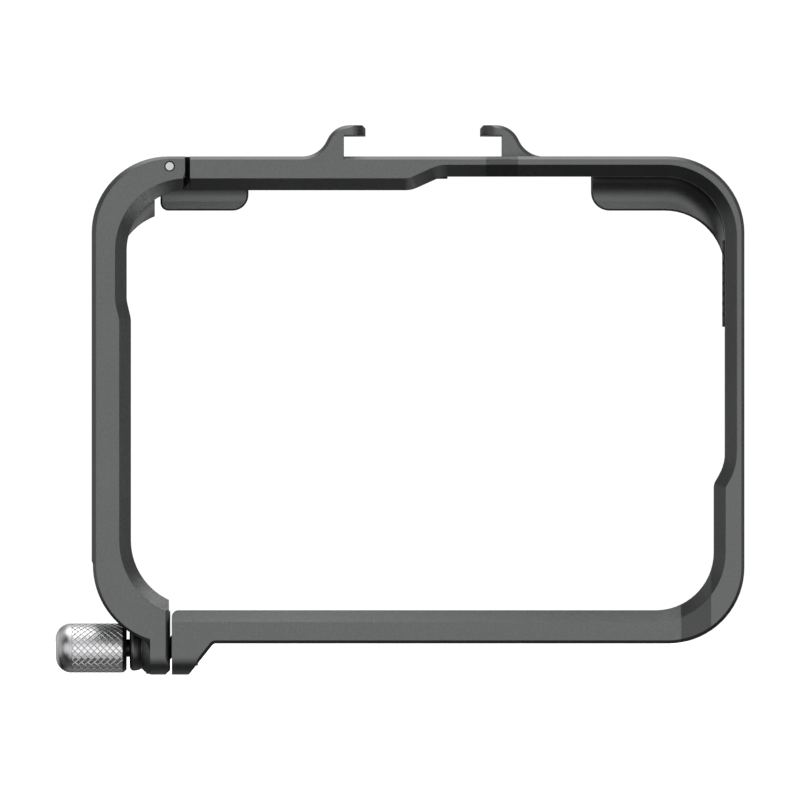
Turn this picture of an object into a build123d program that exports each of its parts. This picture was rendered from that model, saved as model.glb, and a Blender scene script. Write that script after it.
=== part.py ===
from build123d import *
import os

# Camera cage, millimetres. X runs to the right, Z up, and the viewer's side is -Y.
# The origin is the mouth of the tripod thread, in the middle of the floor's underside.

# Outside of the closed cage
HALF_WIDTH = 38.49
HEIGHT = 57.46
CORNER_R = 9.0
FRONT_LEFT_Y = -14.5
FRONT_RIGHT_Y = -16.5
BACK_Y = 14.0
OUTER_CHAMFER = 0.38
MATING_CHAMFER = 0.42
INNER_CHAMFER = 1.4
BACK_CHAMFER = 0.45
LIP_CHAMFER = 0.2
LIP_FILLET = 3.0

# The rim steps forward on the right through a slope, at the top and at the bottom
TOP_SLOPE = (8.03, 11.80)
BOTTOM_SLOPE = (31.03, 34.57)
MID_HEIGHT = 30.0

# Bay for the camera body
BAY_LEFT = -35.8
BAY_RIGHT = 36.40
BAY_FLOOR = 3.70
BAY_TOP = 55.27
ARM_BAY_TOP = 55.07
BAY_FRONT_Y = -12.5
BAY_BACK_Y = 12.5
BAY_CORNER_R = 7.1

# Lips at the back of the top wall, behind the camera
LIP_BOTTOM = 51.20
ARM_LIP_BOTTOM = 50.98
ARM_LIP_END_X = -31.22
TAB_ENDS = (-30.55, -20.1)
CORNER_LIP_END_X = 20.54

# Window in the front rim
WINDOW_BOTTOM = 3.93
WINDOW_TOP_LEFT = 53.47
WINDOW_TOP_RIGHT = 55.07
WINDOW_RIGHT_HIGH = 36.21
WINDOW_RIGHT_LOW = 34.88
WINDOW_LEFT_LOW = -33.86
WINDOW_LEFT_HIGH = -34.36
WINDOW_CORNER_R = 6.85
ARM_WINDOW_BOTTOM = 4.42
ARM_WINDOW_R = 7.77
STEP_R = 3.2

# Hinge at the top left corner; the pin is a 1.2 mm dowel
PIN_X = -29.29
PIN_Z = 56.30
PIN_R = 0.60
PIN_FRONT_Y = -14.45
PIN_BACK_Y = 12.10
PIN_END_TAPER = (0.12, 0.35)
PRESS_CLEARANCE = 0.01
RUNNING_CLEARANCE = 0.06
KNUCKLE_R = 1.16
KNUCKLE_HALF = 9.5
LEAF_INNER_Y = 9.8
WASHER_R = 1.1
WASHER_PLAY = 0.02
REAR_LEAF_BACK_Y = 12.2
FRAME_GAP_X = -26.89
ARM_END_X = -27.48
SWING_R = 2.22

# Tongue on the rim that closes the lower part of the hinge gap
STOP_REACH = 0.18
STOP_ROOT = 0.6
STOP_FRONT_Y = -13.8
STOP_EDGE = 0.4
STOP_LIP = 0.25

# Clamping lugs
LUG_BOTTOM = -3.68
LUG_ROUNDING = 2.35
LUG_R = 0.5
ARM_FACE_X = -29.38
LUG_FACE_X = -29.04
ARM_LUG_LEFT = -31.6
ARM_LOW_LEFT = -38.35
ARM_LOW_BOTTOM = -0.13
ARM_LOW_R = 9.4
ARM_LUG_BLEND_R = 2.3

# The arm's front face, inside an outer chamfer that widens from the top to the side
ARM_FRONT_LEFT = -37.97
ARM_FRONT_TOP = 57.16
ARM_FRONT_BOTTOM = 0.11
ARM_FRONT_R = 8.8
ARM_FRONT_LOW_R = 9.05
ARM_CHAMFER_DEPTH = 0.40
ARM_STEP_Z = (9.75, 9.4, 0)

# Thumb screw, M3, captive in the arm
SCREW_Z = -0.62
THREAD_R = 1.50
SHANK_R = 1.05
THREAD_CHAMFER = 0.3
THREAD_START_X = -30.20
SCREW_TIP_X = -26.10
KNOB_R = 2.92
KNOB_END_X = -42.85
KNOB_BACK_X = -34.91
KNOB_DOME = 1.85
KNOB_HOLE = 4.0
KNOB_RELIEF_R = 3.30
WASHER_BACK_X = -34.46
RING_BEVEL = 0.38
BOSS_END_X = -34.11
BUSH_R = 2.0
BUSH_COLLAR_X = -33.20
INSERT_R = 2.1
INSERT_THREAD_R = 1.65
INSERT_END_X = -26.0

# Tripod thread insert, 1/4"-20
TRIPOD_R = 2.55
TRIPOD_INSERT_R = 3.9

# Cold shoe, machined on the top wall
SHOE_MIDDLE = 0.578
SHOE_HALF_SLOT = 9.345
SHOE_LIP = 2.56
SHOE_LIP_Z = 59.97
SHOE_TOP_Z = 61.15
SHOE_FOOT = 12.18
SHOE_SHOULDER = 10.50
SHOE_FOOT_R = 3.2
SHOE_SHOULDER_R = 2.9
SHOE_TIP_CHAMFER = 0.36
SHOE_LEAD_IN = ((0.70, 0.0), (1.92, 0.97), (2.56, 2.37))
SHOE_LEAD_IN_R = 1.4

# Silicone pads sit in pockets and stand a little proud
PAD_DEPTH = 0.60
PAD_PROUD = 0.32
FLOOR_PAD_PROUD = 0.10
PAD_GAP = 0.05
STRIP_DEPTH = 0.30
STRIP_PROUD = 0.20


def rounded_face(corners):
    """Flat face from (u, v, corner radius) points, in sketch coordinates."""
    face = make_face(Polyline(*[(u, v) for u, v, _ in corners], close=True))
    for u, v, radius in corners:
        if radius:
            corner = face.vertices().sort_by_distance((u, v, 0))[0]
            face = fillet(corner, radius)
    return face


def plate(face, y_front, y_back):
    """Front-view face made solid between two depths."""
    return extrude(Plane.XZ.offset(-y_back) * face, amount=y_back - y_front)


def block(x_low, x_high, y_low, y_high, z_low, z_high):
    """Box given by its limits."""
    middle = ((x_low + x_high) / 2, (y_low + y_high) / 2, (z_low + z_high) / 2)
    return Pos(*middle) * Box(x_high - x_low, y_high - y_low, z_high - z_low)


def rod_x(radius, x_low, x_high, y=0, z=SCREW_Z):
    """Cylinder along X."""
    return Pos((x_low + x_high) / 2, y, z) * Rot(0, 90, 0) * Cylinder(radius, x_high - x_low)


def rod_y(radius, y_low, y_high, x=PIN_X, z=PIN_Z):
    """Cylinder along Y."""
    return Pos(x, (y_low + y_high) / 2, z) * Rot(90, 0, 0) * Cylinder(radius, y_high - y_low)


def rounded_block(axis, across, along, corner_r, low, high):
    """Rounded-rectangle prism along an axis; across and along are (low, high) pairs."""
    width = across[1] - across[0]
    length = along[1] - along[0]
    middle = (sum(across) / 2, sum(along) / 2)
    planes = {
        "x": Plane(origin=(low, 0, 0), x_dir=(0, 1, 0), z_dir=(1, 0, 0)),
        "y": Plane(origin=(0, high, 0), x_dir=(1, 0, 0), z_dir=(0, -1, 0)),
        "z": Plane(origin=(0, 0, low), x_dir=(1, 0, 0), z_dir=(0, 0, 1)),
    }
    face = Pos(*middle) * RectangleRounded(width, length, corner_r)
    return extrude(planes[axis] * face, amount=high - low)


def front_edges(solid, x_low, x_high, z_low, z_high):
    """Edges of the foremost face whose middle lies in a front-view rectangle."""
    front = solid.faces().sort_by(Axis.Y)[0]
    found = []
    for edge in front.edges():
        middle = edge @ 0.5
        if x_low < middle.X < x_high and z_low < middle.Z < z_high:
            found.append(edge)
    return found


# The closed cage as one outline, which trims the lips at the back

def cage_envelope():
    """Outer shape of the closed cage with its chamfered back edge."""
    outline = rounded_face([
        (-HALF_WIDTH, 0, CORNER_R),
        (HALF_WIDTH, 0, CORNER_R),
        (HALF_WIDTH, HEIGHT, CORNER_R),
        (-HALF_WIDTH, HEIGHT, CORNER_R),
    ])
    solid = plate(outline, 0, BACK_Y)
    return chamfer(solid.faces().sort_by(Axis.Y)[-1].edges(), BACK_CHAMFER)


def bay_corners(x_end_top, x_end_bottom, side_x, corner_r):
    """Bay outline from a top end point round one side to a bottom end point."""
    return [
        (x_end_top, BAY_TOP, 0),
        (side_x, BAY_TOP, corner_r),
        (side_x, BAY_FLOOR, corner_r),
        (x_end_bottom, BAY_FLOOR, 0),
    ]


# Main frame

def frame_outer_corners():
    """Outer outline of the frame, from the hinge gap clockwise to the lug's face."""
    return [
        (FRAME_GAP_X, HEIGHT, 0),
        (HALF_WIDTH, HEIGHT, CORNER_R),
        (HALF_WIDTH, 0, CORNER_R),
        (-24.09, 0, LUG_R),
        (-27.03, LUG_BOTTOM, LUG_R),
        (LUG_FACE_X, LUG_BOTTOM, 0),
    ]


def frame_rim():
    """Front rim: flat on the left, sloping forward to a raised level on the right."""
    window = [
        (LUG_FACE_X, WINDOW_BOTTOM, 0),
        (WINDOW_RIGHT_LOW, WINDOW_BOTTOM, WINDOW_CORNER_R),
        (WINDOW_RIGHT_LOW, 18.81, 1.6),
        (WINDOW_RIGHT_HIGH, 21.12, 5.5),
        (WINDOW_RIGHT_HIGH, WINDOW_TOP_RIGHT, BAY_CORNER_R),
        (2.785, WINDOW_TOP_RIGHT, STEP_R),
        (-0.775, WINDOW_TOP_LEFT, STEP_R),
        (FRAME_GAP_X, WINDOW_TOP_LEFT, 0),
    ]
    depth = 2 * (BAY_FRONT_Y - FRONT_LEFT_Y)
    rim = plate(rounded_face(frame_outer_corners() + window), FRONT_LEFT_Y, FRONT_LEFT_Y + depth)

    gap_side = front_edges(rim, FRAME_GAP_X - 0.1, FRAME_GAP_X + 0.1, 50, 60)
    inner = front_edges(rim, LUG_FACE_X + 0.1, WINDOW_RIGHT_HIGH + 0.1, 3.5, 55.2)
    outer_corner = front_edges(rim, 35.5, HALF_WIDTH, 54.2, HEIGHT)
    inner = [e for e in inner if e not in gap_side and e not in outer_corner]
    rim = chamfer(inner, INNER_CHAMFER)
    outer = front_edges(rim, FRAME_GAP_X + 0.1, 60, 57.3, 60)
    outer += front_edges(rim, 35.5, 60, 54.2, 57.3)
    outer += front_edges(rim, 38.3, 60, 5, 53)
    outer += front_edges(rim, 33.0, 60, -1, 4.0)
    outer += front_edges(rim, LUG_FACE_X + 0.1, 33.0, -10, 0.1)
    rim = chamfer(outer, OUTER_CHAMFER)

    step = FRONT_LEFT_Y - FRONT_RIGHT_Y
    pieces = []
    for (slope_start, slope_end), z_low, z_high in (
        (TOP_SLOPE, MID_HEIGHT, 2 * HEIGHT),
        (BOTTOM_SLOPE, -HEIGHT, MID_HEIGHT),
    ):
        left = rim & block(-60, slope_start, -20, 0, z_low, z_high)
        middle = rim & block(slope_start, slope_end, -20, 0, z_low, z_high)
        right = rim & block(slope_end, 60, -20, 0, z_low, z_high)
        lean = step / (slope_end - slope_start)
        shear = Matrix([
            [1, 0, 0, 0],
            [-lean, 1, 0, lean * slope_start],
            [0, 0, 1, 0],
            [0, 0, 0, 1],
        ])
        pieces += [left, middle.transform_geometry(shear), Pos(0, -step, 0) * right]
    rim = pieces[0]
    for piece in pieces[1:]:
        rim = rim + piece
    return rim - block(-60, 60, BAY_FRONT_Y, 0, -20, 80)


def frame_wall():
    """Walls behind the rim, open at the back, with a broken edge all round."""
    corners = frame_outer_corners()
    corners += reversed(bay_corners(FRAME_GAP_X, LUG_FACE_X, BAY_RIGHT, BAY_CORNER_R))
    wall = plate(rounded_face(corners), BAY_FRONT_Y, BACK_Y)
    back = wall.faces().sort_by(Axis.Y)[-1]
    edges = [e for e in back.edges() if (e @ 0.5).X > FRAME_GAP_X + 0.1]
    return chamfer(edges, BACK_CHAMFER)


def camera_space(side_x, top_z, inside_x):
    """Space of the camera's body beside one wall, with its back edge rounded."""
    solid = plate(rounded_face([
        (inside_x, -20, 0),
        (side_x, -20, 0),
        (side_x, top_z, BAY_CORNER_R),
        (inside_x, top_z, 0),
    ]), -20, BAY_BACK_Y)
    return fillet(solid.faces().sort_by(Axis.Y)[-1].edges(), LIP_FILLET)


def tab_outline(left, inset):
    """Lip behind the hinge, in front view, made smaller by an inset."""
    low = LIP_BOTTOM + inset
    right = TAB_ENDS[1] - inset
    return rounded_face([
        (left + inset, 60, 0),
        (right, 60, 0),
        (right, low, 1.9 - inset),
        (left + inset, low, 0.95 - inset),
    ])


def corner_lip_outline(inset):
    """Lip in the top right corner, in front view, made smaller by an inset."""
    left = CORNER_LIP_END_X + inset
    low = LIP_BOTTOM + inset
    return rounded_face([
        (left, 60, 0),
        (40, 60, 0),
        (40, 42.6, 0),
        (BAY_RIGHT + 0.3, 42.6, 0),
        (BAY_RIGHT, 43.2, 0),
        (BAY_RIGHT, low, BAY_CORNER_R - inset),
        (left, low, 2.2 - inset),
    ])


def frame_rear_lips():
    """Two lips at the back of the top wall; the left one reaches behind the arm."""
    leaf_room = block(-40, FRAME_GAP_X, 0, BAY_BACK_Y, ARM_BAY_TOP - 0.15, 60)
    space = camera_space(BAY_RIGHT, BAY_TOP, -60) + leaf_room + rod_y(SWING_R, 0, BAY_BACK_Y)
    fillet_y = BAY_BACK_Y - LIP_FILLET
    lips = []
    for outline, root in (
        (tab_outline(TAB_ENDS[0], 0), tab_outline(TAB_ENDS[0], LIP_CHAMFER)),
        (corner_lip_outline(0), corner_lip_outline(LIP_CHAMFER)),
    ):
        lip = plate(outline, BAY_BACK_Y, BACK_Y)
        edges = [e for e in front_edges(lip, -50, 50, 43.7, 58) if (e @ 0.5).X < 37]
        lip = chamfer(edges, LIP_CHAMFER) + (plate(root, fillet_y, BACK_Y - 1) - space)
        lips.append(lip & cage_envelope())
    return lips[0] + lips[1]


def shoe_plan(side):
    """Shoe post seen from above: its lip leads in with a curve at both ends."""
    (start, _), (bend, bend_y), (tip, tip_y) = SHOE_LEAD_IN

    def place(inward, y):
        return (SHOE_MIDDLE + side * (SHOE_HALF_SLOT - inward), y)

    outside = -6
    front = ThreePointArc(place(start, FRONT_LEFT_Y), place(bend, FRONT_LEFT_Y + bend_y),
                          place(tip, FRONT_LEFT_Y + tip_y))
    back = ThreePointArc(place(tip, BACK_Y - tip_y), place(bend, BACK_Y - bend_y),
                         place(start, BACK_Y))
    ends = Line(place(tip, FRONT_LEFT_Y + tip_y), place(tip, BACK_Y - tip_y))
    outer = Polyline(place(start, BACK_Y), place(outside, BACK_Y),
                     place(outside, FRONT_LEFT_Y), place(start, FRONT_LEFT_Y))
    face = make_face(front + ends + back + outer)
    for y_end in (FRONT_LEFT_Y, BACK_Y):
        corner = face.vertices().sort_by_distance((*place(start, y_end), 0))[0]
        face = fillet(corner, SHOE_LEAD_IN_R)
    return face


def shoe_post(side):
    """One side of the cold shoe: an S-shaped wall with a lip; side is -1 or 1."""
    tip = SHOE_HALF_SLOT - SHOE_LIP
    corners = [
        (SHOE_FOOT + 3.0, HEIGHT - 1.0, 0),
        (SHOE_FOOT + 3.0, HEIGHT, 0),
        (SHOE_FOOT, HEIGHT, SHOE_FOOT_R),
        (SHOE_SHOULDER, SHOE_TOP_Z, SHOE_SHOULDER_R),
        (tip + SHOE_TIP_CHAMFER, SHOE_TOP_Z, 0),
        (tip, SHOE_TOP_Z - SHOE_TIP_CHAMFER, 0),
        (tip, SHOE_LIP_Z, 0),
        (SHOE_HALF_SLOT, SHOE_LIP_Z, 0),
        (SHOE_HALF_SLOT, HEIGHT - 1.0, 0),
    ]
    corners = [(SHOE_MIDDLE + side * x, z, radius) for x, z, radius in corners]
    post = plate(rounded_face(corners), FRONT_LEFT_Y, BACK_Y)
    for end, size in ((0, OUTER_CHAMFER), (-1, BACK_CHAMFER)):
        edges = []
        for edge in post.faces().sort_by(Axis.Y)[end].edges():
            middle = edge @ 0.5
            beside = abs(middle.X - SHOE_MIDDLE) > SHOE_HALF_SLOT + 0.3
            if middle.Z > SHOE_TOP_Z - 0.1 or (beside and middle.Z > HEIGHT - 0.1):
                edges.append(edge)
        post = chamfer(edges, size)
    return post & extrude(Plane.XY.offset(HEIGHT - 2) * shoe_plan(side), amount=10)


def lug_rounding(x_low, x_high):
    """Cutters that round the front and back of the lugs' underside."""
    radius = LUG_ROUNDING
    z_in = LUG_BOTTOM + radius
    cutters = []
    for y_end, inward in ((FRONT_LEFT_Y, 1), (BACK_Y, -1)):
        y_in = y_end + inward * radius
        low, high = sorted((y_end - inward, y_in))
        corner = block(x_low, x_high, low, high, LUG_BOTTOM - 1, z_in)
        cutters.append(corner - rod_x(radius, x_low - 1, x_high + 1, y_in, z_in))
    return cutters[0] + cutters[1]


def round_off(x_edge, z_edge, x_side, z_side, radius):
    """Cutter that rounds a square corner at (x_edge, z_edge) right through the depth."""
    x_in = x_edge + x_side * radius
    z_in = z_edge + z_side * radius
    low = (min(x_edge - x_side, x_in), max(x_edge - x_side, x_in))
    high = (min(z_edge - z_side, z_in), max(z_edge - z_side, z_in))
    corner = block(*low, -20, 20, *high)
    return corner - rod_y(radius, -20, 20, x_in, z_in)


# Places of the pads, shared by each pad and its pocket: axis, spans, corner radius
WALL_PAD = ((-10.0, 10.0), (37.40, 47.60))
ARM_PAD = ((-10.0, 10.0), (37.00, 47.00))
TOP_PADS = {"front": ((-8.5, 3.5), (-10.9, -1.5)), "rear": ((-8.5, 3.5), (1.5, 10.9))}
FLOOR_PADS = {"front": ((-22.0, 22.0), (-10.9, -6.9)), "rear": ((-22.0, 22.0), (6.9, 10.9))}
TOP_STRIP = ((-24.0, -4.0), (53.85, 54.75))
RIGHT_STRIP = ((35.15, 36.00), (8.0, 17.0))
ARM_STRIP = ((-35.55, -34.50), (14.0, 44.0))
PAD_CORNER_R = 1.0
STRIP_CORNER_R = 0.4

# Places of the openings in the walls: across, along, corner radius
SHUTTER_OPENING = ((-20.4, -14.8), (-7.0, 7.0))
SHUTTER_OPENING_R = 2.7
MODE_OPENING = ((-5.0, 5.0), (23.0, 34.0))
MODE_OPENING_R = 4.5
STRAP_SLOTS = (((-22.0, -9.0), (-2.6, 2.6)), ((9.0, 22.0), (-2.6, 2.6)))
STRAP_SLOT_R = 2.5
PORT_OPENING = ((-7.0, 7.0), (14.0, 32.0))
PORT_OPENING_R = 3.0


def grown(span, amount):
    """A (low, high) pair made wider at both ends."""
    return (span[0] - amount, span[1] + amount)


def frame_pockets():
    """Pockets in the frame for its pads and strips."""
    gap = PAD_GAP
    pocket_r = PAD_CORNER_R + gap
    across, along = WALL_PAD
    cut = rounded_block("x", grown(across, gap), grown(along, gap), pocket_r,
                        BAY_RIGHT - 1, BAY_RIGHT + PAD_DEPTH)
    for across, along in TOP_PADS.values():
        cut += rounded_block("z", grown(across, gap), grown(along, gap), pocket_r,
                             BAY_TOP - 1, BAY_TOP + PAD_DEPTH)
    for across, along in FLOOR_PADS.values():
        cut += rounded_block("z", grown(across, gap), grown(along, gap), pocket_r,
                             BAY_FLOOR - PAD_DEPTH, BAY_FLOOR + 1)
    for across, along in (TOP_STRIP, RIGHT_STRIP):
        cut += rounded_block("y", grown(across, gap), grown(along, gap), STRIP_CORNER_R + gap,
                             BAY_FRONT_Y - STRIP_DEPTH, BAY_FRONT_Y + 1)
    return cut


def frame_openings():
    """Openings in the walls: shutter button, mode button and two strap slots."""
    cut = rounded_block("z", *SHUTTER_OPENING, SHUTTER_OPENING_R, BAY_TOP - 1, HEIGHT + 1)
    cut += rounded_block("x", *MODE_OPENING, MODE_OPENING_R, BAY_RIGHT - 1, HALF_WIDTH + 1)
    for slot in STRAP_SLOTS:
        cut += rounded_block("z", *slot, STRAP_SLOT_R, -1, BAY_FLOOR + 1)
    return cut


def hinge_stop():
    """Slanted tongue that closes the lower part of the gap in front of the hinge."""
    reach = ARM_END_X - STOP_REACH
    root = FRAME_GAP_X + STOP_ROOT
    top = PIN_Z - KNUCKLE_R
    slant = (STOP_FRONT_Y - BAY_FRONT_Y + STOP_EDGE) / (FRAME_GAP_X - reach)
    tongue = make_face(Polyline(
        (root, BAY_FRONT_Y - STOP_EDGE + slant * (root - reach)),
        (reach, BAY_FRONT_Y - STOP_EDGE),
        (reach, BAY_FRONT_Y),
        (root, BAY_FRONT_Y),
        close=True,
    ))
    solid = extrude(Plane.XY.offset(WINDOW_TOP_LEFT) * tongue, amount=top - WINDOW_TOP_LEFT)
    lead_in = make_face(Polyline(
        (FRONT_LEFT_Y - 1, WINDOW_TOP_LEFT - 1),
        (BAY_FRONT_Y - STOP_LIP + 1, WINDOW_TOP_LEFT - 1),
        (FRONT_LEFT_Y - 1, WINDOW_TOP_LEFT + BAY_FRONT_Y - STOP_LIP - FRONT_LEFT_Y + 1),
        close=True,
    ))
    solid -= extrude(Plane.YZ * lead_in, amount=40, both=True)
    return solid - rod_y(SWING_R, -20, 0)


def knuckle_slant():
    """Cutter that slants the knuckle's front where the hinge gap shows it."""
    wedge = make_face(Polyline(
        (PIN_X + KNUCKLE_R + 0.1, -KNUCKLE_HALF - 1),
        (FRAME_GAP_X, -KNUCKLE_HALF - 1),
        (FRAME_GAP_X, -KNUCKLE_HALF),
        (PIN_X + KNUCKLE_R + 0.1, -KNUCKLE_HALF + 1.2),
        close=True,
    ))
    return extrude(Plane.XY.offset(PIN_Z - 2) * wedge, amount=4)


def main_frame():
    """Machined frame: rim, walls, lips, cold shoe, lug and hinge knuckle."""
    body = frame_rim() + frame_wall() + frame_rear_lips()
    body += shoe_post(-1) + shoe_post(1)
    knuckle = rod_y(KNUCKLE_R, -KNUCKLE_HALF, KNUCKLE_HALF)
    knuckle += block(PIN_X, FRAME_GAP_X + 0.5, -KNUCKLE_HALF, KNUCKLE_HALF,
                     PIN_Z - KNUCKLE_R, PIN_Z + KNUCKLE_R)
    body += knuckle - knuckle_slant()
    body -= rod_y(PIN_R + RUNNING_CLEARANCE, -KNUCKLE_HALF - 1, KNUCKLE_HALF + 1)
    body -= round_off(FRAME_GAP_X, WINDOW_TOP_LEFT, 1, 1, 0.6) & block(
        -60, 60, -20, BAY_FRONT_Y, 50, 60)
    body += hinge_stop()
    body -= round_off(LUG_FACE_X, WINDOW_BOTTOM, 1, -1, 0.8)
    body -= lug_rounding(-40, -20)
    body -= rod_x(INSERT_R + PRESS_CLEARANCE, LUG_FACE_X - 1, INSERT_END_X)
    body -= Pos(0, 0, BAY_FLOOR / 2) * Cylinder(TRIPOD_INSERT_R + PRESS_CLEARANCE, 2 * BAY_FLOOR)
    return body - frame_pockets() - frame_openings()


# Side arm

def arm_outline(side_x, corner_r, top_z, bottom_z, low_x, low_r, step_z):
    """Left-hand half of an outline, closed on a line well inside the cage."""
    inside = -15.0
    return rounded_face([
        (inside, top_z, 0),
        (side_x, top_z, corner_r),
        (side_x, step_z[0], step_z[2]),
        (low_x, step_z[1], step_z[2]),
        (low_x, bottom_z, low_r),
        (inside, bottom_z, 0),
    ])


def arm_ends():
    """Front-view half-planes that end the arm at the hinge and at the clamping face."""
    ends = Pos(-50 + ARM_END_X, 55) * Rectangle(100, 50)
    return ends + Pos(-50 + ARM_FACE_X, 5) * Rectangle(100, 50)


def arm_lug_face():
    """Lug of the arm in front view."""
    width = ARM_FACE_X - ARM_LUG_LEFT
    return Pos(ARM_FACE_X - width / 2, (LUG_BOTTOM + 3) / 2) * Rectangle(width, 3 - LUG_BOTTOM)


def arm_outer():
    """Outer outline of the arm without its lug."""
    return arm_outline(-HALF_WIDTH, CORNER_R, HEIGHT, ARM_LOW_BOTTOM,
                       ARM_LOW_LEFT, ARM_LOW_R, ARM_STEP_Z)


def arm_profile(hollow, blend_r):
    """Arm in front view, with its lug, round the given hollow."""
    profile = ((arm_outer() - hollow) & arm_ends()) + arm_lug_face()
    corner = profile.vertices().sort_by_distance((ARM_LUG_LEFT, 0.25, 0))[0]
    return fillet(corner, blend_r)


def arm_window():
    """Window in the front rim of the arm."""
    return arm_outline(WINDOW_LEFT_HIGH, BAY_CORNER_R, WINDOW_TOP_LEFT, ARM_WINDOW_BOTTOM,
                       WINDOW_LEFT_LOW, ARM_WINDOW_R, (40.48, 38.33, STEP_R))


def arm_rim():
    """Front rim of the arm with its chamfers and the front of its lug."""
    shoulder_y = FRONT_LEFT_Y + ARM_CHAMFER_DEPTH
    front_face = arm_outline(ARM_FRONT_LEFT, ARM_FRONT_R, ARM_FRONT_TOP, ARM_FRONT_BOTTOM,
                             ARM_FRONT_LEFT, ARM_FRONT_LOW_R, ARM_STEP_Z)
    rim = loft([Plane.XZ.offset(-shoulder_y) * arm_outer(),
                Plane.XZ.offset(-FRONT_LEFT_Y) * front_face], ruled=True)
    rim += plate(arm_outer(), shoulder_y, BAY_FRONT_Y)
    rim &= plate(arm_ends(), -20, 0)
    rim -= plate(arm_window(), -20, 0)
    inner = [e for e in front_edges(rim, -34.5, ARM_END_X - 0.01, 4.3, 53.6)
             if abs((e @ 0.5).X - ARM_FACE_X) > 0.05]
    rim = chamfer(inner, INNER_CHAMFER)
    rim += plate(arm_lug_face(), FRONT_LEFT_Y, BAY_FRONT_Y) - plate(arm_window(), -20, 0)
    reach = MATING_CHAMFER + 1
    wedge = make_face(Polyline(
        (ARM_FACE_X - reach, FRONT_LEFT_Y - 1),
        (ARM_FACE_X + 1, FRONT_LEFT_Y - 1),
        (ARM_FACE_X + 1, FRONT_LEFT_Y + reach),
        close=True,
    ))
    return rim - extrude(Plane.XY.offset(LUG_BOTTOM - 1) * wedge, amount=12)


def lug_blend():
    """Hollow blend from the arm's underside to its lug, with tapered front and back."""
    sharp = ((arm_outer() - arm_window()) & arm_ends()) + arm_lug_face()
    region = arm_profile(arm_window(), ARM_LUG_BLEND_R) - sharp
    solid = plate(region, FRONT_LEFT_Y, BACK_Y)
    centre = (ARM_LOW_LEFT + ARM_LOW_R, ARM_LOW_BOTTOM + ARM_LOW_R)
    depth = BACK_Y - FRONT_LEFT_Y
    taper_start = ARM_CHAMFER_DEPTH + 0.15
    for y_end, turn in ((FRONT_LEFT_Y + taper_start, 90), (BACK_Y - taper_start, -90)):
        middle_y = y_end + depth / 2 * (1 if turn > 0 else -1)
        cone = Cone(ARM_LOW_R + depth, ARM_LOW_R, depth)
        solid = solid & Pos(centre[0], middle_y, centre[1]) * Rot(turn, 0, 0) * cone
    return solid


def arm_wall():
    """Wall of the arm behind its rim."""
    hollow = arm_outline(BAY_LEFT, BAY_CORNER_R, ARM_BAY_TOP, BAY_FLOOR,
                         BAY_LEFT, 6.9, (30, 29, 0))
    wall = plate(arm_profile(hollow, 0.6), BAY_FRONT_Y, BACK_Y)
    back = wall.faces().sort_by(Axis.Y)[-1]
    edges = [e for e in back.edges() if (e @ 0.5).X < ARM_LUG_LEFT + 0.1]
    return chamfer(edges, BACK_CHAMFER)


def arm_rear_lip():
    """Lip in the top corner at the back of the arm."""
    outline = rounded_face([
        (-25, 60, 0),
        (-40, 60, 0),
        (-40, 42.6, 0),
        (BAY_LEFT - 0.3, 42.6, 0),
        (BAY_LEFT, 43.2, 0),
        (BAY_LEFT, ARM_LIP_BOTTOM, BAY_CORNER_R),
        (-25, ARM_LIP_BOTTOM, 0),
    ])
    lip = plate(outline, BAY_BACK_Y - LIP_FILLET, BACK_Y)
    lip -= camera_space(BAY_LEFT, ARM_BAY_TOP, -15)
    lip = lip & cage_envelope()
    return lip & block(-60, ARM_LIP_END_X, -20, 20, 40, 60)


def screw_boss():
    """Boss with a rounded bead that carries the thumb screw and flares into the lug."""
    with BuildPart() as boss:
        with BuildSketch(Plane.XZ):
            with BuildLine():
                Line((BOSS_END_X, 0), (BOSS_END_X, 2.16))
                ThreePointArc((BOSS_END_X, 2.16), (-33.97, 2.53), (-33.64, 2.70))
                ThreePointArc((-33.64, 2.70), (-33.12, 2.63), (-32.68, 2.45))
                Line((-32.68, 2.45), (ARM_LUG_LEFT, 3.53))
                Line((ARM_LUG_LEFT, 3.53), (ARM_FACE_X - 0.6, 3.53))
                Line((ARM_FACE_X - 0.6, 3.53), (ARM_FACE_X - 0.6, 0))
                Line((ARM_FACE_X - 0.6, 0), (BOSS_END_X, 0))
            make_face()
        revolve(axis=Axis.X)
    body = Pos(0, 0, SCREW_Z) * boss.part
    return body & block(-40, -20, -20, 20, LUG_BOTTOM, 2.4)


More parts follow.
